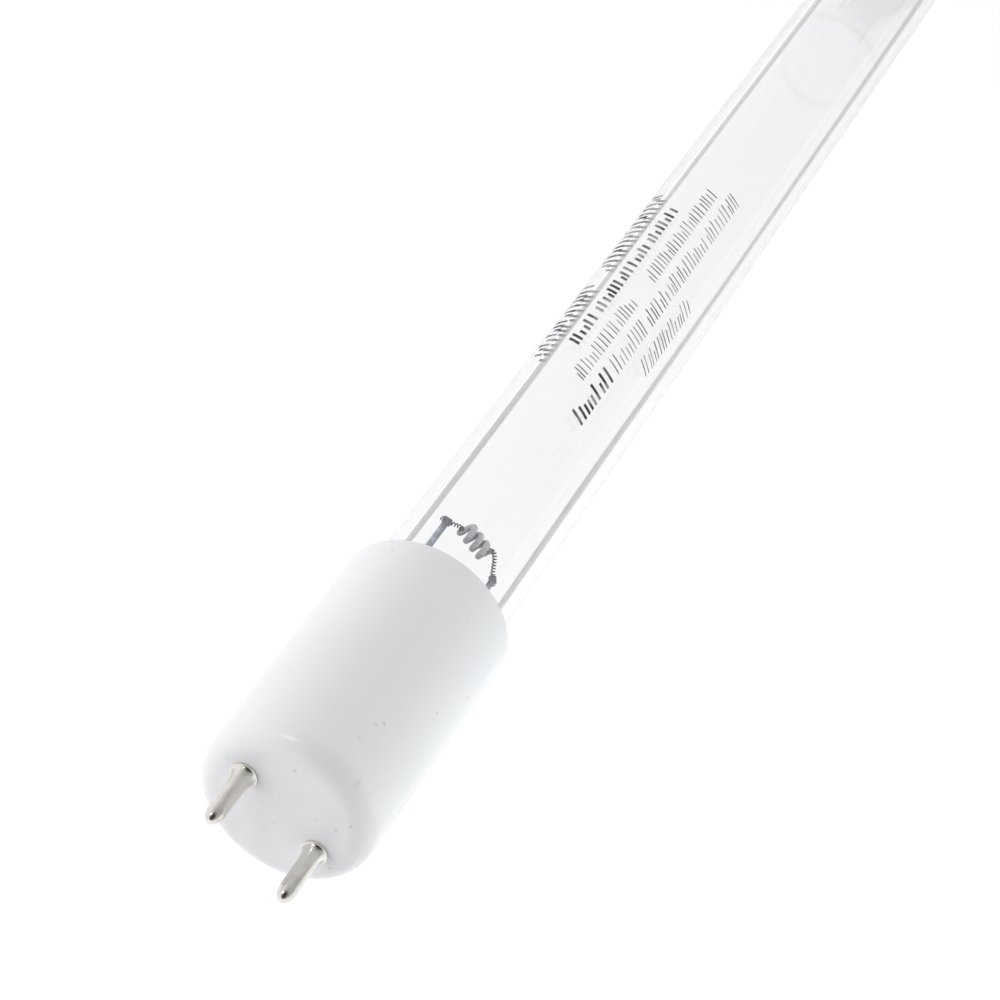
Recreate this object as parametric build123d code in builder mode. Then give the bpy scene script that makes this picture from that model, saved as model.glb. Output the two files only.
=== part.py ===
"""Tubular germicidal lamp: a clear quartz tube with a two-pin ceramic base cemented on each end.

Millimetres. The lamp lies along +X, with the origin at the centre of the near base's end face and +Z up.
Each end is drawn on a plane of its own: its X runs into the lamp from the end face, and its Y is the line
through the two pins, so that both ends are made by the same functions.
"""

from build123d import *

import os
from math import cos, radians, sin

# Whole lamp
body_length = 303.0  # between the outer faces of the two bases
lead_roll = 46.0  # turn of the pins and leads about the lamp's axis, in degrees from level

# Quartz tube
tube_radius = 9.5
tube_wall = 1.65
press_inset = 0.8  # how far each edge of the flat press lies inside the round of the tube
press_thickness = 4.4
press_length = 12.0
shoulder_length = 6.0  # from the flat press out to the round tube
bore_end_cover = 1.5  # solid quartz between the press and the flat end of the bore
bore_end_height = 1.2  # opening of the bore where it ends flat
stem_tip_radius = 1.3  # sealed-off tip of the pumping stem, on the far press
stem_tip_length = 3.0
stem_tip_taper = 12.0  # degrees

# Ceramic base
base_length = 40.0
base_wall = 1.95  # at the open rim
base_draft = 0.3  # how much smaller in radius the end face is than the rim
end_wall = 4.0
face_round = 3.0
rim_round = 1.0
rim_inner_round = 0.4
cavity_round = 1.2

# Basing cement
cement_gap = 0.5
cement_length = 9.0
cement_recess = 1.4  # from the rim of the base

# Contact pins
pin_spacing = 12.7
pin_radius = 1.185
pin_bore = 0.55
pin_length = 9.0  # from the end face to the tip
pin_hole_clearance = 0.05
tip_length = 2.0  # of the bullet-shaped nose
tip_wall = 1.4  # closed end of the pin, beyond its bore
collar_radius = 1.75
collar_rim = 0.3  # upright edge of the collar
collar_flare = 2.2  # height of the flare from that edge to the shank
flange_radius = 1.75
flange_thickness = 0.6

# Lead-through in the press
lead_room = 5.5  # between the base's end wall and the press
lead_radius = 0.4
lead_bend = 1.0
lead_straight = 0.9  # bare lead between the press and its first bend
lead_slope = 2.4  # length along the lamp of the slanting stretch
foil_cover = 3.0  # from the end of the press to the foil
foil_length = 6.5
foil_width = 2.6
foil_thickness = 0.1

# Posts and cathode
post_radius = 0.45
post_inset = 2.85  # from the bore to the middle of each post
clamp_radius = 0.54
clamp_length = 1.0
clamp_clearance = 0.02
cathode_reach = 14.3  # from the rim of the base to the middle of the clamps
clamp_skew = 0.4  # how far each clamp stands ahead of or behind that middle
coil_turns = 3.5
coil_pitch = 1.35
coil_radius = 0.95  # middle of the coated wire
coil_wire_radius = 0.42
coil_lift = 2.0  # of the coil's axis, beyond the clamps
coil_shift = 0.25  # of the coil's middle, towards the left clamp
leg_radius = 0.3
leg_stub = 1.0  # leg that stands out beyond each clamp

# Mercury
bead_radius = 0.6
bead_inset = 6.0  # from the rim of the far base, under its sleeve
bead_clearance = 0.02

# Sizes that follow
bore_radius = tube_radius - tube_wall
base_bore = tube_radius + cement_gap
rim_radius = base_bore + base_wall
face_radius = rim_radius - base_draft
press_half_width = tube_radius - press_inset
press_start = end_wall + lead_room
press_end = press_start + press_length
round_start = press_end + shoulder_length
bore_start = press_end + bore_end_cover
bore_round_start = round_start + bore_end_cover
foil_start = press_start + foil_cover
foil_end = foil_start + foil_length
pin_offset = pin_spacing / 2
post_offset = bore_radius - post_inset
clamp_middle = base_length + cathode_reach
bead_place = base_length - bead_inset

# The two ends, and the two sides of each
across = (0, cos(radians(lead_roll)), sin(radians(lead_roll)))
near_end = Plane(origin=(0, 0, 0), x_dir=(1, 0, 0), z_dir=(0, -across[2], across[1]))
far_end = Plane(origin=(body_length, 0, 0), x_dir=(-1, 0, 0), z_dir=(0, across[2], -across[1]))
ends = {"near": near_end, "far": far_end}
sides = {"left": 1, "right": -1}


def section_plane(end, depth):
    """Plane square to the lamp at a depth from an end face; its Y is still the line through the pins."""
    return Plane(
        origin=end.from_local_coords((depth, 0, 0)),
        x_dir=-end.z_dir,
        z_dir=end.x_dir,
    )


def side_plane(end, offset):
    """The end's own plane, moved by an offset along the line through the pins."""
    return Plane(origin=end.from_local_coords((0, offset, 0)), x_dir=end.x_dir, z_dir=end.z_dir)


def long_axis(plane):
    """Axis along the lamp through a plane's origin."""
    return Axis(plane.origin, plane.x_dir)


def clamp_points(end):
    """Middle of the left and of the right clamp."""
    left = end.from_local_coords((clamp_middle + clamp_skew, post_offset, 0))
    right = end.from_local_coords((clamp_middle - clamp_skew, -post_offset, 0))
    return {"left": left, "right": right}


def coil_winding(end):
    """Middle line of the cathode's loops, which start on the base's side of the coil's axis."""
    clamps = clamp_points(end)
    along = (clamps["right"] - clamps["left"]).normalized()
    middle = (clamps["left"] + clamps["right"]) * 0.5 + Vector(end.x_dir) * coil_lift - along * coil_shift
    height = coil_turns * coil_pitch
    coil_plane = Plane(origin=middle - along * (height / 2), x_dir=-end.x_dir, z_dir=along)
    with BuildLine() as winding:
        Helix(pitch=coil_pitch, height=height, radius=coil_radius)
    return coil_plane.from_local_coords(winding.line.edge())


def leg_ends(end):
    """Start and end of the left and right legs, from the coil out through the clamps."""
    winding = coil_winding(end)
    clamps = clamp_points(end)
    starts = {"left": winding @ 0, "right": winding @ 1}
    legs = {}
    for side_name, start in starts.items():
        way = (clamps[side_name] - start).normalized()
        legs[side_name] = (start, clamps[side_name] + way * leg_stub, way)
    return legs


os.makedirs("parts", exist_ok=True)

# Quartz tube: round body, two shoulders drawn down to flat presses, and the bore with its two flat ends
with BuildPart() as quartz_tube:
    with BuildSketch(section_plane(near_end, round_start)):
        Circle(tube_radius)
    extrude(amount=body_length - 2 * round_start)
    for end in ends.values():
        with BuildSketch(section_plane(end, press_end)):
            Ellipse(press_thickness / 2, press_half_width)
        with BuildSketch(section_plane(end, round_start)):
            Circle(tube_radius)
        loft()
        with BuildSketch(section_plane(end, press_start)):
            Ellipse(press_thickness / 2, press_half_width)
        extrude(amount=press_length)
    with BuildSketch(section_plane(far_end, press_start)):
        Circle(stem_tip_radius)
    extrude(amount=-stem_tip_length, taper=stem_tip_taper)
    with BuildSketch(section_plane(near_end, bore_round_start)):
        Circle(bore_radius)
    extrude(amount=body_length - 2 * bore_round_start, mode=Mode.SUBTRACT)
    for end in ends.values():
        with BuildSketch(section_plane(end, bore_start)):
            Ellipse(bore_end_height / 2, bore_radius)
        with BuildSketch(section_plane(end, bore_round_start)):
            Circle(bore_radius)
        loft(mode=Mode.SUBTRACT)
        for side in sides.values():
            with BuildSketch(section_plane(end, press_start)):
                with Locations((0, side * post_offset)):
                    Circle(lead_radius)
            extrude(amount=foil_cover, mode=Mode.SUBTRACT)
            with BuildSketch(section_plane(end, foil_start)):
                with Locations((0, side * post_offset)):
                    Rectangle(foil_thickness, foil_width)
            extrude(amount=foil_length, mode=Mode.SUBTRACT)
            with BuildSketch(section_plane(end, foil_end)):
                with Locations((0, side * post_offset)):
                    Circle(post_radius)
            extrude(amount=bore_start - foil_end, mode=Mode.SUBTRACT)
quartz_tube.part.label = "quartz_tube"
export_step(quartz_tube.part, "parts/quartz_tube.step")

for end_name, end in ends.items():
    # Ceramic base: a turned cup with slight draft, well rounded at the end face, with two pin holes
    with BuildPart() as base:
        with BuildSketch(end) as base_section:
            with BuildLine():
                Polyline(
                    (0, 0),
                    (0, face_radius),
                    (base_length, rim_radius),
                    (base_length, base_bore),
                    (end_wall, base_bore),
                    (end_wall, 0),
                    close=True,
                )
            make_face()
            face_corner = base_section.vertices().group_by(Axis.X)[0].sort_by(Axis.Y)[-1]
            rim_corners = base_section.vertices().group_by(Axis.X)[-1].sort_by(Axis.Y)
            cavity_corner = base_section.vertices().group_by(Axis.X)[1].sort_by(Axis.Y)[-1]
            fillet(face_corner, face_round)
            fillet(rim_corners[0], rim_inner_round)
            fillet(rim_corners[1], rim_round)
            fillet(cavity_corner, cavity_round)
        revolve(axis=long_axis(end))
        with BuildSketch(section_plane(end, 0)):
            with Locations((0, pin_offset), (0, -pin_offset)):
                Circle(pin_radius + pin_hole_clearance)
        extrude(amount=end_wall, mode=Mode.SUBTRACT)
    base.part.label = f"{end_name}_base"
    export_step(base.part, f"parts/{base.part.label}.step")

    # Basing cement: a plain ring that fills the gap between the tube and the cup
    with BuildPart() as cement:
        with BuildSketch(section_plane(end, base_length - cement_recess - cement_length)):
            Circle(base_bore)
            Circle(tube_radius, mode=Mode.SUBTRACT)
        extrude(amount=cement_length)
    cement.part.label = f"{end_name}_cement"
    export_step(cement.part, f"parts/{cement.part.label}.step")

    # Cathode: loops of coated coil between two bare legs that run out through the clamps
    winding = coil_winding(end)
    legs = leg_ends(end)
    with BuildPart() as cathode:
        with BuildSketch(Plane(origin=winding @ 0, z_dir=winding % 0)):
            Circle(coil_wire_radius)
        sweep(path=winding, is_frenet=True)
        for start, stop, way in legs.values():
            with BuildSketch(Plane(origin=start, z_dir=way)):
                Circle(leg_radius)
            extrude(amount=(stop - start).length)
            with Locations(start):
                Sphere(coil_wire_radius)
    cathode.part.label = f"{end_name}_cathode"
    export_step(cathode.part, f"parts/{cathode.part.label}.step")

    for side_name, side in sides.items():
        # Contact pin: a turned tube with a flared collar, a closed, bullet-shaped tip and a peened flange inside
        pin_plane = side_plane(end, side * pin_offset)
        with BuildPart() as pin:
            with BuildSketch(pin_plane):
                with BuildLine():
                    Polyline(
                        (-pin_length, 0),
                        (-pin_length + tip_wall, 0),
                        (-pin_length + tip_wall, pin_bore),
                        (end_wall + flange_thickness, pin_bore),
                        (end_wall + flange_thickness, flange_radius),
                        (end_wall, flange_radius),
                        (end_wall, pin_radius),
                        (0, pin_radius),
                        (0, collar_radius),
                        (-collar_rim, collar_radius),
                    )
                    EllipticalCenterArc(
                        center=(-collar_rim - collar_flare, collar_radius),
                        x_radius=collar_flare,
                        y_radius=collar_radius - pin_radius,
                        start_angle=270,
                        arc_size=90,
                    )
                    Line(
                        (-collar_rim - collar_flare, pin_radius),
                        (-pin_length + tip_length, pin_radius),
                    )
                    EllipticalCenterArc(
                        center=(-pin_length + tip_length, 0),
                        x_radius=tip_length,
                        y_radius=pin_radius,
                        start_angle=90,
                        arc_size=90,
                    )
                make_face()
            revolve(axis=long_axis(pin_plane))
        pin.part.label = f"{end_name}_{side_name}_pin"
        export_step(pin.part, f"parts/{pin.part.label}.step")

        # Post: a straight wire from the foil up to the clamp that grips the cathode's leg
        clamp = clamp_points(end)[side_name]
        leg_way = legs[side_name][2]
        post_end = clamp_middle + side * clamp_skew
        with BuildPart() as post:
            with BuildSketch(section_plane(end, foil_end)):
                with Locations((0, side * post_offset)):
                    Circle(post_radius)
            extrude(amount=post_end - foil_end)
            with BuildSketch(Plane(origin=clamp - leg_way * (clamp_length / 2), z_dir=leg_way)):
                Circle(clamp_radius)
            extrude(amount=clamp_length)
            with BuildSketch(Plane(origin=clamp, z_dir=leg_way)):
                Circle(leg_radius + clamp_clearance)
            extrude(amount=clamp_length + leg_stub, both=True, mode=Mode.SUBTRACT)
        post.part.label = f"{end_name}_{side_name}_post"
        export_step(post.part, f"parts/{post.part.label}.step")

        # Foil: thin strip sealed flat in the press, between the post and the outer lead
        with BuildPart() as foil:
            with BuildSketch(section_plane(end, foil_start)):
                with Locations((0, side * post_offset)):
                    Rectangle(foil_thickness, foil_width)
            extrude(amount=foil_length)
        foil.part.label = f"{end_name}_{side_name}_foil"
        export_step(foil.part, f"parts/{foil.part.label}.step")

        # Outer lead: from the foil, out of the press, and over into the bore of the pin, down to its closed end
        with BuildPart() as lead:
            with BuildLine(end) as lead_path:
                FilletPolyline(
                    (foil_start, side * post_offset),
                    (press_start - lead_straight, side * post_offset),
                    (press_start - lead_straight - lead_slope, side * pin_offset),
                    (-pin_length + tip_wall, side * pin_offset),
                    radius=lead_bend,
                )
            with BuildSketch(section_plane(end, foil_start)):
                with Locations((0, side * post_offset)):
                    Circle(lead_radius)
            sweep(path=lead_path.line)
        lead.part.label = f"{end_name}_{side_name}_lead"
        export_step(lead.part, f"parts/{lead.part.label}.step")

# Mercury: a loose drop lying in the bottom of the bore, inside the far base
with BuildPart() as mercury_bead:
    with Locations((body_length - bead_place, 0, bead_radius + bead_clearance - bore_radius)):
        Sphere(bead_radius)
mercury_bead.part.label = "mercury_bead"
export_step(mercury_bead.part, "parts/mercury_bead.step")
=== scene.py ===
# %% [markdown]
# # A clear germicidal lamp
# The lamp is a straight tube of clear quartz with a white two-pin ceramic base on each end. Through the
# quartz one sees the hot parts: two posts and a coiled, coated cathode. The solids come from the CAD model,
# and this file gives them their finishes, their finest detail, and the light of a plain studio.
#
# The lamp lies along X, with the origin in the middle of the near base's end face. Blender counts in metres,
# so a small size is written in millimetres, times mm.

import math
import random

import bpy
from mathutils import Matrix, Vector, noise
from mathutils.geometry import interpolate_bezier


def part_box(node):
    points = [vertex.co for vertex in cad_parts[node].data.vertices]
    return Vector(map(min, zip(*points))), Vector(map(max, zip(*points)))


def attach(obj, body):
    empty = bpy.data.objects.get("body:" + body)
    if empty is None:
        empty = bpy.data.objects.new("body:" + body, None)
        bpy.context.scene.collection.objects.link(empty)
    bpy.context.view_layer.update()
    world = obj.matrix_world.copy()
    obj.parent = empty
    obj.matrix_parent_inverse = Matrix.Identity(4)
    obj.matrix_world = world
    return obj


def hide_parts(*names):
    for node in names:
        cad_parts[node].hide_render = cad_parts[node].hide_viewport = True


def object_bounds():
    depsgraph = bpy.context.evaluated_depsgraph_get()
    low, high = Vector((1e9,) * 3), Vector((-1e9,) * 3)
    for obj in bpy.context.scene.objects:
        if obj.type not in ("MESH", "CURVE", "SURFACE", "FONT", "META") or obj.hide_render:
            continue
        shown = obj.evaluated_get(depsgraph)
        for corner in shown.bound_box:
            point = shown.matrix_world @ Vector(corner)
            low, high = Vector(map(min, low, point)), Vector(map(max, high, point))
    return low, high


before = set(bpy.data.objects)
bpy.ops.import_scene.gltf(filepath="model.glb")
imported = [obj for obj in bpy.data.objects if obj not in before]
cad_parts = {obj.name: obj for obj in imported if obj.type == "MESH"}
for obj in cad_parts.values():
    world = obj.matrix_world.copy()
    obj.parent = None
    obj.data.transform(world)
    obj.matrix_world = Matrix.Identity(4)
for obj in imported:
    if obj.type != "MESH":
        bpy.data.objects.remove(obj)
cad_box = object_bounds()
mm = 0.001
# The pins stand out by the same length at both ends, so the two ends of the box add up to the body's length
body_length = cad_box[1][0] + cad_box[0][0]
print("CAD nodes:", len(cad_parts))
print("CAD box in metres:", [[round(value, 4) for value in corner] for corner in cad_box])
print("Length between the end faces:", round(body_length / mm, 1), "mm")

# %% [markdown]
# ## The camera
# The photograph looks down at the near base from its left, with a long lens, so that the tube runs away to
# the upper right. A camera could be dragged into place by eye. It is easier to place by what it looks at: a
# point on the lamp, a distance, a heading and a tilt. Its line of sight then follows from the two angles.

# %% Place the camera
scene = bpy.context.scene
aim = Vector((0.0670, 0.00095, 0.0))
camera_distance = 0.3815
camera_heading = math.radians(23.62)
camera_tilt = math.radians(36.76)
sight = Vector((
    math.cos(camera_tilt) * math.cos(camera_heading),
    math.cos(camera_tilt) * math.sin(camera_heading),
    -math.sin(camera_tilt),
))
camera_data = bpy.data.cameras.new("camera")
camera_data.sensor_width = 36.0
camera_data.lens = 101.19
camera = bpy.data.objects.new("camera", camera_data)
camera.location = aim - sight * camera_distance
camera.rotation_mode = "QUATERNION"
camera.rotation_quaternion = sight.to_track_quat("-Z", "Y")
scene.collection.objects.link(camera)
scene.camera = camera
scene.view_settings.view_transform = "Standard"
print("Camera at", [round(value, 4) for value in camera.location])

# %% [markdown]
# ## Helpers for nodes
# The light and every finish below are graphs of nodes. They could be drawn by hand in the shader editor. In a
# script, a graph reads better once its common steps have names: add a node, do a sum, and ease a value from
# one range into another.

# %% Make node helpers
def new_node(tree, kind, **settings):
    """A node of that kind, with its settings."""
    node = tree.nodes.new(kind)
    for name, value in settings.items():
        setattr(node, name, value)
    return node


def calculate(tree, operation, *values):
    """A Math node's output. Each value is a number or another node's output."""
    node = new_node(tree, "ShaderNodeMath", operation=operation)
    for socket, value in zip(node.inputs, values):
        if isinstance(value, bpy.types.NodeSocket):
            tree.links.new(value, socket)
        else:
            socket.default_value = value
    return node.outputs["Value"]


def remap(tree, value, low, high, to_low=0.0, to_high=1.0):
    """A value eased from one range into another, and held at its ends."""
    node = new_node(tree, "ShaderNodeMapRange", interpolation_type="SMOOTHSTEP")
    tree.links.new(value, node.inputs["Value"])
    node.inputs["From Min"].default_value = low
    node.inputs["From Max"].default_value = high
    node.inputs["To Min"].default_value = to_low
    node.inputs["To Max"].default_value = to_high
    return node.outputs["Result"]


print("Node helpers ready")

# %% [markdown]
# ## The room
# The picture has a pure white ground and almost no shadow, as in a tent of white cloth. Such a tent could be
# built from panels with lamps behind them. The world's own light does the same with a value for each
# direction, and with less noise. It is bright all round, dim towards the right, and nearly dark in an
# opening where the camera stands. The dim side gives the white ceramic its grey middle, and the opening makes
# the dark spots in the nickel. Rays that come straight from the camera, or through glass, find plain white.

# %% Light the room
def towards(tree, way, near_edge, far_edge):
    """One for rays that run close to a way through the room, and nought for those well off it."""
    rays = new_node(tree, "ShaderNodeTexCoord").outputs["Generated"]
    dot = new_node(tree, "ShaderNodeVectorMath", operation="DOT_PRODUCT")
    tree.links.new(rays, dot.inputs[0])
    dot.inputs[1].default_value = Vector(way).normalized()
    return remap(tree, dot.outputs["Value"], far_edge, near_edge)


tent_level = 1.02
white_level = 1.02
dim_way = (0.2, -0.80, 0.60)
dim_share = 0.5
opening_way = (-0.66, -0.33, 0.68)
opening_share = 0.92
world = bpy.data.worlds.new("white_tent")
scene.world = world
world.use_nodes = True
tree = world.node_tree
dim_side = towards(tree, dim_way, near_edge=1.0, far_edge=-0.1)
opening = towards(tree, opening_way, near_edge=0.95, far_edge=0.60)
dimmed = calculate(tree, "MULTIPLY_ADD", dim_side, -tent_level * dim_share, tent_level)
opened = calculate(tree, "MULTIPLY", opening, dimmed)
room = calculate(tree, "MULTIPLY_ADD", opened, -opening_share, dimmed)
path = new_node(tree, "ShaderNodeLightPath")
seen = calculate(tree, "MAXIMUM", path.outputs["Is Camera Ray"], path.outputs["Is Transmission Ray"])
white = calculate(tree, "MULTIPLY", seen, white_level)
background = tree.nodes["Background"]
tree.links.new(calculate(tree, "MAXIMUM", white, room), background.inputs["Strength"])
background.inputs["Color"].default_value = (0.985, 0.985, 1.0, 1.0)
print("Tent at a level of", tent_level)

# %% [markdown]
# ## The floor
# The lamp is held by its pins, clear of a plain pale floor, so its shadow is soft and faint. The floor could
# be a thick slab, but only its top is ever seen, so one large flat face will do.

# %% Lay the floor
floor_drop = 0.10
floor_half = 3.0
floor_level = cad_box[0][2] - floor_drop
corner_signs = [(-1, -1), (1, -1), (1, 1), (-1, 1)]
floor_corners = [(x * floor_half, y * floor_half, floor_level) for x, y in corner_signs]
floor_mesh = bpy.data.meshes.new("floor")
floor_mesh.from_pydata(floor_corners, [], [(0, 1, 2, 3)])
floor = bpy.data.objects.new("floor", floor_mesh)
scene.collection.objects.link(floor)
print("Floor", round(floor_drop / mm), "mm below the bases")

# %% [markdown]
# Under this light a white floor comes out grey, and more light would bleach the ceramic. So the floor glows a
# little, but only for the rays that one sees by: from the camera, off a mirror or through glass. Far off,
# where the lamps reach less, it glows more, so that floor and white surroundings meet without a line.

# %% Paint the floor
def seen_directly(tree):
    """One for rays from the camera, off a mirror or through glass, and nought for those that carry light."""
    path = new_node(tree, "ShaderNodeLightPath")
    bounced = calculate(tree, "MAXIMUM", path.outputs["Is Glossy Ray"], path.outputs["Is Transmission Ray"])
    return calculate(tree, "MAXIMUM", path.outputs["Is Camera Ray"], bounced)


near_glow = 0.31
far_glow = 0.62
glow_rise_start = 0.9
glow_rise_stop = 2.2
floor_paint = bpy.data.materials.new("floor_paint")
floor_paint.use_nodes = True
tree = floor_paint.node_tree
shader = tree.nodes["Principled BSDF"]
shader.inputs["Base Color"].default_value = (0.88, 0.88, 0.88, 1.0)
shader.inputs["Roughness"].default_value = 0.9
shader.inputs["Specular IOR Level"].default_value = 0.0
shader.inputs["Emission Color"].default_value = (1.0, 1.0, 1.0, 1.0)
from_lamp = new_node(tree, "ShaderNodeVectorMath", operation="LENGTH")
tree.links.new(new_node(tree, "ShaderNodeTexCoord").outputs["Object"], from_lamp.inputs[0])
glow = remap(tree, from_lamp.outputs["Value"], glow_rise_start, glow_rise_stop, near_glow, far_glow)
tree.links.new(calculate(tree, "MULTIPLY", seen_directly(tree), glow), shader.inputs["Emission Strength"])
floor_mesh.materials.append(floor_paint)
print("Floor glows from", near_glow, "near the lamp to", far_glow, "far off")

# %% [markdown]
# ## The lamps
# Four soft rectangular lamps add what the tent leaves out. Small sharp ones could do it too, but under a tent
# of cloth all light is wide and soft. The camera sees none of the lamps, and the quartz neither, because a
# lamp behind clear glass would wash it out.

# %% Make a lamp
def hang_lamp(name, place, target, width, length, power, colour, shown_by_gloss=False):
    """A soft rectangular lamp at a place, turned to a target, with its power in watts."""
    data = bpy.data.lights.new(name, "AREA")
    data.shape = "RECTANGLE"
    data.size = width
    data.size_y = length
    data.energy = power
    data.color = colour
    lamp = bpy.data.objects.new(name, data)
    lamp.location = place
    lamp.rotation_mode = "QUATERNION"
    lamp.rotation_quaternion = (Vector(target) - Vector(place)).to_track_quat("-Z", "Y")
    lamp.visible_camera = False
    lamp.visible_glossy = shown_by_gloss
    lamp.visible_transmission = False
    scene.collection.objects.link(lamp)


print("Lamp helper ready")

# %% [markdown]
# A large lamp, high on the left, brightens the left flank. A low one on the right and one in front lift the
# underside and the end face. The smallest is there for its image, the glint on the rounding of the base, so
# it is the only one that gloss shows.

# %% Hang the lamps
hang_lamp(
    "left_lamp",
    place=(0.0, 0.84, 1.44),
    target=(0.12, 0.0, 0.0),
    width=1.2,
    length=1.8,
    power=7.6,
    colour=(0.975, 0.955, 1.0),
)
hang_lamp(
    "low_lamp",
    place=(0.08, -0.20, floor_level + 0.015),
    target=(0.03, 0.0, 0.0),
    width=0.06,
    length=0.4,
    power=0.54,
    colour=(0.94, 1.0, 1.0),
)
hang_lamp(
    "front_lamp",
    place=(-0.50, 0.12, -0.05),
    target=(0.0, 0.0, 0.0),
    width=0.10,
    length=0.35,
    power=0.68,
    colour=(0.97, 1.0, 1.0),
)
hang_lamp(
    "glint_lamp",
    place=(-0.21, 0.12, 0.56),
    target=(0.0, 0.0, 0.011),
    width=0.09,
    length=0.09,
    power=0.42,
    colour=(1.0, 1.0, 1.0),
    shown_by_gloss=True,
)
print("Lamps hung:", len(bpy.data.lights))

# %% [markdown]
# ## Helpers for finishes
# A finish could be painted on a flat picture of each piece. Here it is worked out from the place on the lamp,
# so nothing has to be unwrapped and a grain keeps its real size on every piece. Most finishes are two tones,
# mixed by a cloud of soft random values.

# %% Make finish helpers
def start_finish(name):
    """A new finish: its material, its nodes and its shader."""
    material = bpy.data.materials.new(name)
    material.use_nodes = True
    return material, material.node_tree, material.node_tree.nodes["Principled BSDF"]


def place_on_lamp(tree):
    """Where a point lies on the lamp, in metres."""
    return new_node(tree, "ShaderNodeTexCoord").outputs["Object"]


def clouds(tree, place, per_metre, detail=2.0):
    """A soft random value, about a half on average, with that many bumps to a metre."""
    node = new_node(tree, "ShaderNodeTexNoise")
    tree.links.new(place, node.inputs["Vector"])
    node.inputs["Scale"].default_value = per_metre
    node.inputs["Detail"].default_value = detail
    return node.outputs["Fac"]


def mix_colours(tree, share, first, second):
    """A colour between two others. Each is three numbers or another node's output."""
    node = new_node(tree, "ShaderNodeMix", data_type="RGBA")
    tree.links.new(share, node.inputs["Factor"])
    # The node also holds sockets for numbers and vectors: its colours are inputs 6 and 7 and output 2
    for socket, colour in zip((node.inputs[6], node.inputs[7]), (first, second)):
        if isinstance(colour, bpy.types.NodeSocket):
            tree.links.new(colour, socket)
        else:
            socket.default_value = (*colour, 1.0)
    return node.outputs[2]


def dress(node_name, material):
    """Gives a CAD node a finish."""
    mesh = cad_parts[node_name].data
    mesh.materials.clear()
    mesh.materials.append(material)


print("Finish helpers ready")

# %% [markdown]
# ## Ceramic
# The bases are white steatite, with a few dark specks in it from the kiln. Specks could be painted on one by
# one. A Voronoi pattern fills the space with cells instead, and only a few of them are picked, so the specks
# lie scattered and none has to be placed.

# %% Sow the specks
def kiln_specks(tree, place, per_metre):
    """One in the middle of a few small specks, and nought elsewhere."""
    grit = new_node(tree, "ShaderNodeTexVoronoi")
    tree.links.new(place, grit.inputs["Vector"])
    grit.inputs["Scale"].default_value = per_metre
    pick = new_node(tree, "ShaderNodeSeparateColor")
    tree.links.new(grit.outputs["Color"], pick.inputs["Color"])
    near_grit = remap(tree, grit.outputs["Distance"], low=0.06, high=0.32, to_low=1.0, to_high=0.0)
    few = remap(tree, pick.outputs["Red"], low=0.97, high=1.0)
    return calculate(tree, "MULTIPLY", near_grit, few)


print("Specks ready")

# %% [markdown]
# A single flat colour would look like plastic. So there is a slow cloud of two whites, faint scuffs drawn out
# along the lamp, the specks, and a very fine grain. The gloss stays soft for a reason: below a roughness of
# about 0.22 Cycles would count its reflections as those of a mirror, and the glowing floor would show in it
# with a hard edge.

# %% Fire the ceramic
def stretch(tree, place, scale):
    """The place on the lamp, times a scale for each direction."""
    node = new_node(tree, "ShaderNodeMapping")
    tree.links.new(place, node.inputs["Vector"])
    node.inputs["Scale"].default_value = scale
    return node.outputs["Vector"]


def roughen(tree, shader, height, depth):
    """Small bumps of that depth in metres."""
    node = new_node(tree, "ShaderNodeBump")
    node.inputs["Distance"].default_value = depth
    tree.links.new(height, node.inputs["Height"])
    tree.links.new(node.outputs["Normal"], shader.inputs["Normal"])


cool_white = (0.81, 0.81, 0.825)
clean_white = (0.855, 0.855, 0.86)
scuff_grey = (0.70, 0.71, 0.73)
speck_grey = (0.62, 0.62, 0.62)
scuff_scale = (45.0, 700.0, 700.0)
grain_depth = 0.012 * mm
ceramic, tree, shader = start_finish("white_steatite")
place = place_on_lamp(tree)
whites = mix_colours(tree, clouds(tree, place, per_metre=70.0), cool_white, clean_white)
scuff = clouds(tree, stretch(tree, place, scuff_scale), per_metre=1.0, detail=1.0)
scuff_share = remap(tree, scuff, low=0.66, high=0.80, to_low=0.0, to_high=0.5)
scuffed = mix_colours(tree, scuff_share, whites, scuff_grey)
specked = mix_colours(tree, kiln_specks(tree, place, per_metre=900.0), scuffed, speck_grey)
tree.links.new(specked, shader.inputs["Base Color"])
gloss = remap(tree, clouds(tree, place, per_metre=160.0), low=0.3, high=0.7, to_low=0.23, to_high=0.26)
tree.links.new(gloss, shader.inputs["Roughness"])
shader.inputs["Specular IOR Level"].default_value = 0.4
roughen(tree, shader, clouds(tree, place, per_metre=2600.0, detail=3.0), grain_depth)
for end_name in ("near", "far"):
    dress(f"{end_name}_base", ceramic)
print("Ceramic on both bases")

# %% [markdown]
# ## Nickel pins
# The pins are brass, plated with bright nickel. Nickel is a warm grey mirror, and a perfect one looks drawn
# by a computer. Scratches could be drawn on it, but at this size what shows is a faint tarnish, which changes
# its colour and its polish from place to place.

# %% Plate the pins
bright_nickel = (0.77, 0.745, 0.70)
tarnished_nickel = (0.70, 0.67, 0.62)
nickel, tree, shader = start_finish("bright_nickel")
tarnish = clouds(tree, place_on_lamp(tree), per_metre=450.0, detail=3.0)
tarnish_share = remap(tree, tarnish, low=0.42, high=0.68)
plating = mix_colours(tree, tarnish_share, bright_nickel, tarnished_nickel)
tree.links.new(plating, shader.inputs["Base Color"])
polish = remap(tree, tarnish, low=0.3, high=0.7, to_low=0.10, to_high=0.2)
tree.links.new(polish, shader.inputs["Roughness"])
shader.inputs["Metallic"].default_value = 1.0
side_names = [(end_name, side) for end_name in ("near", "far") for side in ("left", "right")]
for end_name, side in side_names:
    dress(f"{end_name}_{side}_pin", nickel)
print("Nickel on", len(side_names), "pins")

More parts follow.
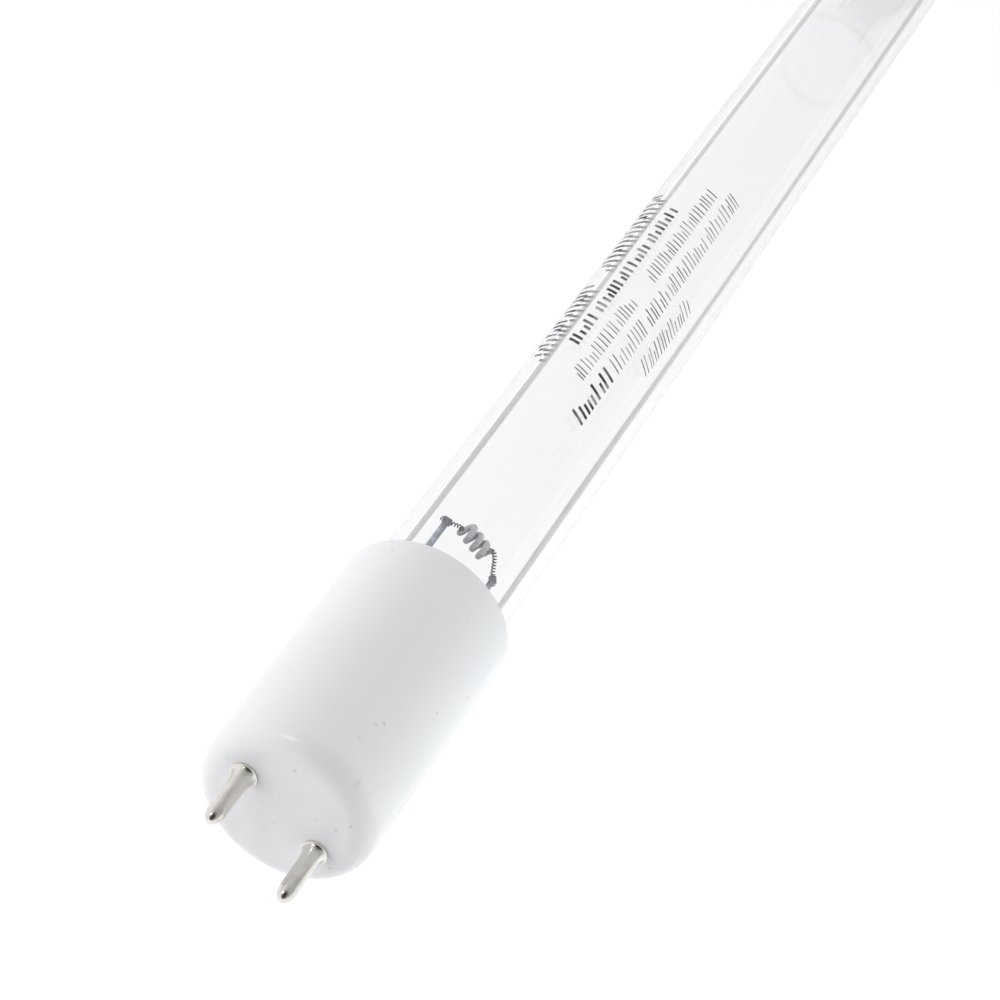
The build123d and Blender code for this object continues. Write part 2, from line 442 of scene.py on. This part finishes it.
# %% [markdown]
# ## Metal inside the lamp
# The posts are bright wire with a bluish cast from the heat of the sealing, and nearly black at the clamps,
# which get hottest. The dark ends could be pieces with a finish of their own, but heat fades out along a
# wire. So the finish measures how far a point is from the clamps, at both ends of the lamp alike.

# %% Find the clamps
clamp_middle = 54.3 * mm


def along_lamp(tree):
    """How far along the lamp a point lies, in metres from the near end face."""
    node = new_node(tree, "ShaderNodeSeparateXYZ")
    tree.links.new(place_on_lamp(tree), node.inputs["Vector"])
    return node.outputs["X"]


def away_from(tree, value, centre):
    """How far a value is from a centre, on either side."""
    return calculate(tree, "ABSOLUTE", calculate(tree, "SUBTRACT", value, centre))


def near_clamps(tree):
    """One at the clamps of both cathodes, and nought a little way off them."""
    from_middle = away_from(tree, along_lamp(tree), body_length / 2)
    to_clamp = away_from(tree, from_middle, body_length / 2 - clamp_middle)
    return remap(tree, to_clamp, low=0.4 * mm, high=2.2 * mm, to_low=1.0, to_high=0.0)


print("Clamps", round(clamp_middle / mm, 1), "mm from each end face")

# %% [markdown]
# Foils and outer leads are duller than the posts, and the mercury is a bright bead. Each could have a finish
# built from nothing, but they differ only in their tones and their polish. One recipe serves them all.

# %% Mix the metals
burnt_grey = (0.13, 0.13, 0.145)


def metal_finish(name, light, dark, per_metre, smooth, rough, burnt=False):
    """A metal between two tones, rougher where it is darker, and burnt at the clamps if asked."""
    material, tree, shader = start_finish(name)
    mottle = clouds(tree, place_on_lamp(tree), per_metre, detail=3.0)
    tone = mix_colours(tree, remap(tree, mottle, low=0.35, high=0.65), light, dark)
    if burnt:
        tone = mix_colours(tree, near_clamps(tree), tone, burnt_grey)
    tree.links.new(tone, shader.inputs["Base Color"])
    polish = remap(tree, mottle, low=0.3, high=0.7, to_low=smooth, to_high=rough)
    tree.links.new(polish, shader.inputs["Roughness"])
    shader.inputs["Metallic"].default_value = 1.0
    return material


post_metal = metal_finish(
    "post_metal", (0.40, 0.43, 0.49), (0.24, 0.26, 0.31), per_metre=900.0, smooth=0.22, rough=0.36, burnt=True
)
lead_metal = metal_finish(
    "lead_metal", (0.52, 0.51, 0.49), (0.38, 0.37, 0.35), per_metre=700.0, smooth=0.35, rough=0.5
)
mercury = metal_finish(
    "mercury", (0.80, 0.80, 0.81), (0.72, 0.72, 0.74), per_metre=300.0, smooth=0.03, rough=0.08
)
print("Metals mixed:", [metal.name for metal in (post_metal, lead_metal, mercury)])

# %% [markdown]
# ## Cement and the other inner pieces
# Each base is stuck to the tube with a ring of cement, a coarse sandy grey paste that sets dull. Its grains
# could be modelled one by one, but the ring is nearly hidden, so a cloud gives both its colour and its bumps.

# %% Dress the inner pieces
dark_sand = (0.46, 0.43, 0.38)
pale_sand = (0.68, 0.66, 0.61)
sand_depth = 0.15 * mm
cement, tree, shader = start_finish("basing_cement")
sand = clouds(tree, place_on_lamp(tree), per_metre=2200.0, detail=4.0)
tree.links.new(mix_colours(tree, sand, dark_sand, pale_sand), shader.inputs["Base Color"])
shader.inputs["Roughness"].default_value = 0.9
roughen(tree, shader, sand, sand_depth)
for end_name, side in side_names:
    dress(f"{end_name}_{side}_post", post_metal)
    dress(f"{end_name}_{side}_foil", lead_metal)
    dress(f"{end_name}_{side}_lead", lead_metal)
for end_name in ("near", "far"):
    dress(f"{end_name}_cement", cement)
dress("mercury_bead", mercury)
print("Inner pieces dressed")

# %% [markdown]
# ## The quartz tube
# The tube was drawn from clear quartz, and its hot ends were pinched flat round the leads. Clear glass shows
# every facet of its mesh, because each one bends the light a little differently. The CAD tube has fewer than
# a hundred facets round it, so it is made again here with many more, to the same sizes: a round body, a
# shoulder and a flat press at each end, a bore inside, and the sealed tip of the pumping stem at the far end.

# %% Take the tube's sizes
tube_low, tube_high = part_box("quartz_tube")
tube_radius = (tube_high[1] - tube_low[1]) / 2
tube_wall = 1.65 * mm
press_inset = 0.8 * mm
press_thickness = 4.4 * mm
press_length = 12 * mm
shoulder_length = 6 * mm
bore_cover = 1.5 * mm
bore_end_height = 1.2 * mm
stem_radius = 1.3 * mm
stem_length = 3.0 * mm
stem_taper = math.radians(12.0)
bore_radius = tube_radius - tube_wall
press_half_width = tube_radius - press_inset
press_start = tube_low[0]
press_end = press_start + press_length
round_start = press_end + shoulder_length
bore_start = press_end + bore_cover
bore_round_start = round_start + bore_cover
stem_start = body_length - press_start
stem_end_radius = stem_radius - stem_length * math.tan(stem_taper)
# The press is widest along the line through the two pins
pin_low, pin_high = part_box("near_left_pin")
across = Vector((0.0, pin_low[1] + pin_high[1], pin_low[2] + pin_high[2])).normalized()
flat_way = Vector((1.0, 0.0, 0.0)).cross(across)
print("Tube", round(tube_radius / mm, 2), "mm and bore", round(bore_radius / mm, 2), "mm in radius")

# %% [markdown]
# A tube like this could be a turned profile, but its ends are not round: they go from a circle to a flat
# oval. So it is drawn as rings of points from end to end, outside and again inside. A shoulder eases from one
# shape to the other.

# %% Draw the near end
sides_round = 320
shoulder_steps = 24


def oval_ring(x, half_width, half_height):
    """Points round the lamp at x: wide along the line of the pins, and high square to it."""
    points = []
    for step in range(sides_round):
        turn = 2 * math.pi * step / sides_round
        wide = across * half_width * math.cos(turn)
        high = flat_way * half_height * math.sin(turn)
        points.append(Vector((x, 0.0, 0.0)) + wide + high)
    return points


def shoulder_rings(start, stop, half_width, half_height, radius):
    """Rings from a flat oval to the round of the tube."""
    rings = []
    for step in range(shoulder_steps + 1):
        share = step / shoulder_steps
        eased = share * share * (3 - 2 * share)
        ring_width = half_width + (radius - half_width) * eased
        ring_height = half_height + (radius - half_height) * eased
        rings.append(oval_ring(start + (stop - start) * share, ring_width, ring_height))
    return rings


press_ring = oval_ring(press_start, press_half_width, press_thickness / 2)
press_shoulder = shoulder_rings(press_end, round_start, press_half_width, press_thickness / 2, tube_radius)
outer_near = [press_ring] + press_shoulder
bore_near = shoulder_rings(bore_start, bore_round_start, bore_radius, bore_end_height / 2, bore_radius)
print(len(outer_near), "rings outside and", len(bore_near), "in the bore at the near end")

# %% [markdown]
# The straight part could do without rings of its own, but smooth shading would then carry the shoulder's
# slant a long way into the clear tube. So it has rings too, one of them close to each shoulder. The far end
# is the near end flipped, with the tip of the stem on its press.

# %% Line up the rings
ring_spacing = 8 * mm
ring_guard = 0.2 * mm


def straight_rings(start, stop, radius):
    """Rings along a straight stretch, with one close to each end of it."""
    count = math.ceil((stop - start) / ring_spacing)
    places = [start + (stop - start) * step / count for step in range(1, count)]
    return [oval_ring(x, radius, radius) for x in (start + ring_guard, *places, stop - ring_guard)]


def far_rings(rings):
    """The same rings at the far end, in reverse order."""
    flipped = []
    for ring in reversed(rings):
        flipped.append([Vector((body_length - point.x, point.y, point.z)) for point in ring])
    return flipped


outer_straight = straight_rings(round_start, body_length - round_start, tube_radius)
bore_straight = straight_rings(bore_round_start, body_length - bore_round_start, bore_radius)
stem_rings = [
    oval_ring(stem_start, stem_radius, stem_radius),
    oval_ring(stem_start + stem_length, stem_end_radius, stem_end_radius),
]
outer_rings = outer_near + outer_straight + far_rings(outer_near) + stem_rings
bore_rings = bore_near + bore_straight + far_rings(bore_near)
print(len(outer_rings), "rings outside and", len(bore_rings), "in the bore")

# %% [markdown]
# Between the rings goes a skin of four-sided faces, closed at both ends. Two separate tubes, one in the
# other, would both be solid glass. So it is one mesh: its outer skin faces out, and the skin of the bore
# faces into the bore, so that the light leaves the quartz there and enters it again on the other side.

# %% Skin the tube
def skin(rings, first, faces, inward):
    """Faces between rings of points, which start at a number, with a face over each end."""
    count = len(rings[0])
    for row in range(len(rings) - 1):
        for step in range(count):
            ahead = (step + 1) % count
            a = first + row * count + step
            b = first + row * count + ahead
            face = (a, b, b + count, a + count)
            faces.append(face[::-1] if inward else face)
    start_cap = tuple(first + step for step in range(count))
    last = first + (len(rings) - 1) * count
    end_cap = tuple(last + step for step in range(count))
    faces.append(start_cap if inward else start_cap[::-1])
    faces.append(end_cap[::-1] if inward else end_cap)


tube_points = [point for ring in outer_rings + bore_rings for point in ring]
tube_faces = []
skin(outer_rings, 0, tube_faces, inward=False)
outer_count = len(tube_faces)
skin(bore_rings, len(outer_rings) * sides_round, tube_faces, inward=True)
print("Tube of", len(tube_points), "points and", len(tube_faces), "faces")

# %% [markdown]
# ## Quartz
# Quartz is made by a shader that lets light through and bends it. A few smudges make it a little less than
# perfect, and a faint beige ring is drawn round the tube at a set place along it. The bore's finish carries
# painted shade: two grey lines along the tube where the bore is seen edge on, which stand in for the dark
# edges that clear glass shows. They are drawn finer away from the near end. Two drawn strips would stay in
# place when one walks round the lamp. Layer Weight tells how slanted the glass is to the eye, so the painted
# lines keep to its edges from every side.

# %% Melt the quartz
clear_quartz = (0.965, 0.966, 0.97)
bore_tint = (0.917, 0.919, 0.923)
# Painted shade: the grey of the two lines at the bore's edges, which stand in for the dark edges of clear
# glass
edge_shade_grey = (0.18, 0.165, 0.155)
ring_beige = (0.915, 0.89, 0.86)
ring_place = 203.0 * mm
smudge_scale = (25.0, 90.0, 90.0)


def quartz_finish(name, clear):
    """Quartz of a clear colour, with a beige ring and a few smudges, and its tint for more."""
    material, tree, shader = start_finish(name)
    shader.inputs["Transmission Weight"].default_value = 1.0
    shader.inputs["IOR"].default_value = 1.46
    from_ring = away_from(tree, along_lamp(tree), ring_place)
    ring = remap(tree, from_ring, low=0.6 * mm, high=1.6 * mm, to_low=1.0, to_high=0.0)
    tint = mix_colours(tree, ring, clear, ring_beige)
    smudge = clouds(tree, stretch(tree, place_on_lamp(tree), smudge_scale), per_metre=1.0, detail=3.0)
    haze = remap(tree, smudge, low=0.5, high=0.75, to_low=0.0, to_high=0.02)
    tree.links.new(haze, shader.inputs["Roughness"])
    return material, tree, shader, tint


quartz, tree, shader, tint = quartz_finish("clear_quartz", clear_quartz)
tree.links.new(tint, shader.inputs["Base Color"])
bore_quartz_edge_shade, tree, shader, tint = quartz_finish("bore_quartz_edge_shade", bore_tint)
# Painted shade: the bore turns grey where it is seen edge on, and the lines are drawn finer away from the
# near end
slant = new_node(tree, "ShaderNodeLayerWeight")
slant.inputs["Blend"].default_value = 0.5
line_narrowing = remap(tree, along_lamp(tree), low=70 * mm, high=150 * mm, to_low=0.0, to_high=0.085)
edge_shade_slant = calculate(tree, "SUBTRACT", slant.outputs["Facing"], line_narrowing)
edge_shade_share = remap(tree, edge_shade_slant, low=0.665, high=0.705)
tree.links.new(mix_colours(tree, edge_shade_share, tint, edge_shade_grey), shader.inputs["Base Color"])
print("Quartz melted, clear outside and filmed in the bore")

# %% [markdown]
# Now the tube takes its place. Its sides are shaded smooth and its flat ends flat. Cycles gives clear glass
# a dark shadow unless it traces every path of light through it, so the tube casts none.

# %% Place the tube
flat_end = 0.99
tube_mesh = bpy.data.meshes.new("quartz_body")
tube_mesh.from_pydata(tube_points, [], tube_faces)
tube_mesh.materials.append(quartz)
tube_mesh.materials.append(bore_quartz_edge_shade)
for number, face in enumerate(tube_mesh.polygons):
    face.use_smooth = abs(face.normal.x) < flat_end
    face.material_index = 0 if number < outer_count else 1
tube_mesh.validate()
quartz_body = bpy.data.objects.new("quartz_body", tube_mesh)
quartz_body.visible_shadow = False
scene.collection.objects.link(quartz_body)
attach(quartz_body, "root")
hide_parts("quartz_tube")
print("Quartz body placed with", len(tube_mesh.polygons), "faces")

# %% [markdown]
# ## The cathodes
# This is the piece that takes the most skill. Each cathode is a coil of a coil: fine tungsten wire is wound
# into a thin helix, and that helix is bent into three and a half loops, dipped in a white paste, and gripped
# at both ends. A screw modifier could bend the loops. Points worked out turn by turn are as short to write,
# and the legs can then join them exactly.

# %% Bend the loops
coil_turns = 3.5
coil_pitch = 1.35 * mm
coil_radius = 0.95 * mm
coil_lift = 2.0 * mm
coil_shift = 0.25 * mm
steps_per_turn = 72


def cathode_loops(left, right, into):
    """Points round the loops, whose axis runs beside the line from clamp to clamp."""
    along = (right - left).normalized()
    length = coil_turns * coil_pitch
    start = (left + right) / 2 + into * coil_lift - along * (coil_shift + length / 2)
    back = (-into - along * along.dot(-into)).normalized()
    aside = along.cross(back)
    loops = []
    for step in range(int(coil_turns * steps_per_turn) + 1):
        turn = 2 * math.pi * step / steps_per_turn
        forward = along * coil_pitch * turn / (2 * math.pi)
        outward = (back * math.cos(turn) + aside * math.sin(turn)) * coil_radius
        loops.append(start + forward + outward)
    return loops


print(coil_turns, "loops over", round(coil_turns * coil_pitch / mm, 2), "mm")

# %% [markdown]
# A bare leg leads from each clamp to the loops, and a short stub of it stands out behind the clamp. The leg
# could meet the loops at a corner, but wire bends gently. So it is a Bezier curve that leaves the clamp
# straight and runs into the loops along their own way.

# %% Lead the legs to the loops
clamp_skew = 0.4 * mm
post_offset = bore_radius - 2.85 * mm
leg_stub = 1.0 * mm
leg_bend = 0.4
leg_steps = 60
stub_steps = 12


def cathode_leg(clamp, foot, ahead):
    """Points from the stub's end, through the clamp, to the loops' foot, whose next point lies ahead."""
    way = (foot - clamp).normalized()
    bend = (foot - clamp).length * leg_bend
    into_loops = (foot - ahead).normalized() * bend
    curve = interpolate_bezier(clamp, clamp + way * bend, foot + into_loops, foot, leg_steps)
    stub = [clamp - way * leg_stub * (1 - step / stub_steps) for step in range(stub_steps)]
    return stub + curve[:-1]


def cathode_route(face_x, into):
    """Points from the left stub to the right one, and the numbers where the loops start and stop."""
    face = Vector((face_x, 0.0, 0.0))
    left = face + into * (clamp_middle + clamp_skew) + across * post_offset
    right = face + into * (clamp_middle - clamp_skew) - across * post_offset
    loops = cathode_loops(left, right, into)
    left_leg = cathode_leg(left, loops[0], loops[1])
    right_leg = cathode_leg(right, loops[-1], loops[-2])
    return left_leg + loops + right_leg[::-1], len(left_leg), len(left_leg) + len(loops) - 1


near_route, loops_start, loops_stop = cathode_route(0.0, Vector((1.0, 0.0, 0.0)))
print("Route of", len(near_route), "points; loops from", loops_start, "to", loops_stop)

# %% [markdown]
# A bevelled curve would give a round strand along that route. The paste is lumpy, though, so the strand is
# made from rings of points whose radius can differ at each point. The two ways square to the strand are
# carried along from point to point, so that the rings don't twist.

# %% Build a strand
def strand_frames(points):
    """For each point, two ways square to the strand that turn with it as little as they can."""
    frames = []
    side = None
    for number in range(len(points)):
        ahead = points[min(number + 1, len(points) - 1)]
        behind = points[max(number - 1, 0)]
        way = (ahead - behind).normalized()
        side = way.orthogonal() if side is None else side - way * side.dot(way)
        side = side.normalized()
        frames.append((side, way.cross(side)))
    return frames


def add_strand(mesh_points, mesh_faces, points, radius_at, sides):
    """Adds a round closed strand along points to a mesh."""
    first = len(mesh_points)
    for number, (point, (side, up)) in enumerate(zip(points, strand_frames(points))):
        for step in range(sides):
            turn = 2 * math.pi * step / sides
            outward = side * math.cos(turn) + up * math.sin(turn)
            mesh_points.append(point + outward * radius_at(number, point))
    for row in range(len(points) - 1):
        for step in range(sides):
            a = first + row * sides + step
            b = first + row * sides + (step + 1) % sides
            mesh_faces.append((a, b, b + sides, a + sides))
    mesh_faces.append(tuple(first + step for step in reversed(range(sides))))
    last = first + (len(points) - 1) * sides
    mesh_faces.append(tuple(last + step for step in range(sides)))


print("A strand has a frame at each of", len(strand_frames(near_route)), "points")

# %% [markdown]
# The bare legs show the first winding: a helix of fine wire round the route. A striped finish would do from
# far off, but here one looks right at it, so the wire is really wound, a few points to each turn.

# %% Wind fine wire
wire_radius = 0.085 * mm
wire_coil_radius = 0.26 * mm
wire_pitch = 0.42 * mm
wire_steps = 14
wire_sides = 6


def fine_helix(points):
    """Points of a fine helix wound round a strand."""
    frames = strand_frames(points)
    wound = []
    run = 0.0
    for number in range(len(points) - 1):
        step_length = (points[number + 1] - points[number]).length
        pieces = max(1, math.ceil(step_length / wire_pitch * wire_steps))
        for piece in range(pieces):
            share = piece / pieces
            turn = 2 * math.pi * (run + step_length * share) / wire_pitch
            side = frames[number][0].lerp(frames[number + 1][0], share)
            up = frames[number][1].lerp(frames[number + 1][1], share)
            centre = points[number].lerp(points[number + 1], share)
            wound.append(centre + (side * math.cos(turn) + up * math.sin(turn)) * wire_coil_radius)
        run += step_length
    return wound


def wire_thickness(number, point):
    """The radius of the bare wire, which is the same everywhere."""
    return wire_radius


print("Wire of", len(fine_helix(near_route[: loops_start + 1])), "points on the left leg")

# %% [markdown]
# The loops are coated with a paste that gives off electrons when it is hot. It was dipped and baked, so it is
# lumpy, faintly ribbed by the wire under it, and thin where it ends. The lumps could be bump in the finish,
# but they show in the outline, so the radius itself varies, by two sizes of noise and a small wave.

# %% Coat the loops
paste_radius = 0.43 * mm
paste_overlap = 10
paste_sides = 20
thin_end = 0.66
thin_end_steps = 9
large_lumps = 1500
large_lump_share = 0.10
small_lumps = 4200
small_lump_share = 0.05
rib_share = 0.02
rib_turn = 2.1


def paste_thickness(count):
    """Gives the radius of the paste at each of so many points."""

    def radius_at(number, point):
        to_end = min(number, count - 1 - number)
        taper = thin_end + (1 - thin_end) * min(1.0, to_end / thin_end_steps)
        lumps = noise.noise(point * large_lumps) * large_lump_share
        lumps += noise.noise(point * small_lumps) * small_lump_share
        ribs = rib_share * math.sin(number * rib_turn)
        return paste_radius * taper * (1 + lumps + ribs)

    return radius_at


print("Paste", round(2 * paste_radius / mm, 2), "mm across, and wire", round(2 * wire_radius / mm, 2), "mm")

# %% [markdown]
# Paste and wire could be separate objects, but the real cathode is one piece, and it stands for one solid. So
# it is one mesh with two finishes: paste on the loops and a little beyond them, and bare wire on the legs.

# %% Wind a cathode
def wind_cathode(name, face_x, into):
    """A cathode's mesh: paste on the loops, bare wire on the legs."""
    route, start, stop = cathode_route(face_x, into)
    points = []
    faces = []
    pasted = route[start - paste_overlap : stop + paste_overlap + 1]
    add_strand(points, faces, pasted, paste_thickness(len(pasted)), paste_sides)
    paste_faces = len(faces)
    for leg in (route[: start + 1], route[stop:]):
        add_strand(points, faces, fine_helix(leg), wire_thickness, wire_sides)
    mesh = bpy.data.meshes.new(name)
    mesh.from_pydata(points, [], faces)
    for number, face in enumerate(mesh.polygons):
        face.use_smooth = len(face.vertices) == 4
        face.material_index = 0 if number < paste_faces else 1
    return mesh


print("Paste goes", paste_overlap, "points beyond the loops at both ends")

# %% [markdown]
# The paste is a dull grey-white powder, and the bare tungsten is nearly black. A plain grey could do for the
# powder, but seen this close it has a grain. The same cloud gives it both its two tones and its bumps.

# %% Finish the cathodes
dark_paste = (0.36, 0.37, 0.39)
pale_paste = (0.56, 0.57, 0.58)
powder_depth = 0.06 * mm
paste, tree, shader = start_finish("cathode_paste")
powder = clouds(tree, place_on_lamp(tree), per_metre=3500.0, detail=4.0)
powder_tone = mix_colours(tree, remap(tree, powder, low=0.35, high=0.65), dark_paste, pale_paste)
tree.links.new(powder_tone, shader.inputs["Base Color"])
shader.inputs["Roughness"].default_value = 0.85
roughen(tree, shader, powder, powder_depth)
tungsten = metal_finish(
    "bare_tungsten", (0.07, 0.07, 0.075), (0.035, 0.035, 0.04), per_metre=1200.0, smooth=0.35, rough=0.5
)
print("Paste and tungsten ready")

# %% [markdown]
# The far cathode could be a flipped copy of the near one, but that would flip the way it is wound as well. So
# both are made by the same steps, the far one from the far face inwards, and each is measured against the
# CAD solid that it stands for.

# %% Place the cathodes
for end_name, face_x, into in (("near", 0.0, 1.0), ("far", body_length, -1.0)):
    mesh = wind_cathode(f"{end_name}_coil", face_x, Vector((into, 0.0, 0.0)))
    mesh.materials.append(paste)
    mesh.materials.append(tungsten)
    coil = bpy.data.objects.new(f"{end_name}_coil", mesh)
    scene.collection.objects.link(coil)
    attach(coil, "root")
    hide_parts(f"{end_name}_cathode")
    low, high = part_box(f"{end_name}_cathode")
    for axis, axis_name in enumerate("XYZ"):
        places = [vertex.co[axis] for vertex in mesh.vertices]
        off_low = round((min(places) - low[axis]) / mm, 2)
        off_high = round((max(places) - high[axis]) / mm, 2)
        print(end_name, "coil off its solid along", axis_name, "by", off_low, "and", off_high, "mm")

# %% [markdown]
# ## Rows of bars on the tube
# The tube is marked with rows of plain bars in faded ink, set in uneven groups. They could be a pattern in
# the quartz, but ink lies on the glass and has an edge. So each bar is a thin patch that follows the round of
# the tube. Its underside reaches just into the quartz, so that light inside the glass meets the ink too.

# %% Draw a bar of ink
ink_height = 0.012 * mm
ink_bite = 0.004 * mm
bar_steps = 8


def add_bar(points, faces, x, turn_middle, turn_half, width, lean):
    """Adds one leaning bar of ink round the tube. Turns are in degrees from the top, towards -Y."""
    first = len(points)
    section = (
        (tube_radius - ink_bite, -width / 2),
        (tube_radius - ink_bite, width / 2),
        (tube_radius + ink_height, width / 2),
        (tube_radius + ink_height, -width / 2),
    )
    corners = len(section)
    for step in range(bar_steps + 1):
        share = 2 * step / bar_steps - 1
        turn = math.radians(turn_middle + turn_half * share)
        way = Vector((0.0, -math.sin(turn), math.cos(turn)))
        at = x - lean * share
        for radius, offset in section:
            points.append(Vector((at + offset, 0.0, 0.0)) + way * radius)
    for step in range(bar_steps):
        for corner in range(corners):
            a = first + step * corners + corner
            b = first + step * corners + (corner + 1) % corners
            faces.append((a, a + corners, b + corners, b))
    last = first + bar_steps * corners
    faces.append(tuple(first + corner for corner in range(corners)))
    faces.append(tuple(last + corner for corner in reversed(range(corners))))


print("A bar stands", round(ink_height / mm, 3), "mm proud of the quartz")

# %% [markdown]
# A row is a list of groups. Each bar could be placed by hand, but there are hundreds, so a loop fills each
# group with them. A seeded random draw makes some of them shorter and varies the gaps, so that the rows look
# uneven but come out the same each time.

# %% Lay out the rows
thin = 0.24
bold = 0.6
bar_lean = 0.55 * mm
bar_heights = (1.0, 1.0, 0.8, 0.62)
bar_gaps = (0.6, 0.8, 1.0)
draw = random.Random(11)
# Each row: turn of its middle and half its height in degrees, then its groups: start, stop and boldness in mm
rows = [
    (-39.0, 8.0, [(91.0, 112.0, bold), (117.0, 140.0, bold)]),
    (-8.0, 6.0, [(94.0, 101.5, bold), (103.0, 122.0, bold), (123.5, 133.0, bold)]),
    (14.0, 6.5, [(86.5, 107.0, thin), (114.0, 140.5, thin)]),
    (34.5, 7.0, [
        (79.0, 91.0, bold), (92.5, 104.0, thin), (105.5, 113.0, thin), (114.3, 120.0, thin),
        (121.2, 129.0, thin), (130.0, 136.0, thin), (137.0, 142.5, thin),
    ]),
    (57.0, 7.0, [(97.5, 116.0, thin)]),
]
ink_points = []
ink_faces = []
for turn_middle, turn_half, groups in rows:
    for group_start, group_stop, weight in groups:
        x = group_start
        while x < group_stop:
            height = draw.choice(bar_heights)
            bar_middle = turn_middle + turn_half * (1 - height)
            bar_half = turn_half * height
            add_bar(ink_points, ink_faces, x * mm, bar_middle, bar_half, weight * mm, bar_lean * height)
            x += draw.choice(bar_gaps) + weight
print("Rows of", len(ink_faces), "faces")

# %% [markdown]
# The ink is a thin black that has worn grey in places. Each bar could have its own grey, but wear doesn't
# stop at the edge of a bar. So one cloud fades them all, from place to place.

# %% Ink the rows
fresh_ink = (0.03, 0.03, 0.035)
worn_ink = (0.36, 0.37, 0.38)
ink, tree, shader = start_finish("faded_ink")
fade = remap(tree, clouds(tree, place_on_lamp(tree), per_metre=260.0, detail=3.0), low=0.40, high=0.64)
tree.links.new(mix_colours(tree, fade, fresh_ink, worn_ink), shader.inputs["Base Color"])
shader.inputs["Roughness"].default_value = 0.6
ink_mesh = bpy.data.meshes.new("print_rows")
ink_mesh.from_pydata(ink_points, [], ink_faces)
ink_mesh.materials.append(ink)
print_rows = bpy.data.objects.new("print_rows", ink_mesh)
scene.collection.objects.link(print_rows)
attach(print_rows, "root")
print("Ink on", len(rows), "rows")

# %% [markdown]
# ## Sizes
# Dressing a lamp must not change its size. The box of the CAD model, kept from the start, is printed there.

# %% End of the scene
print("Scene built")
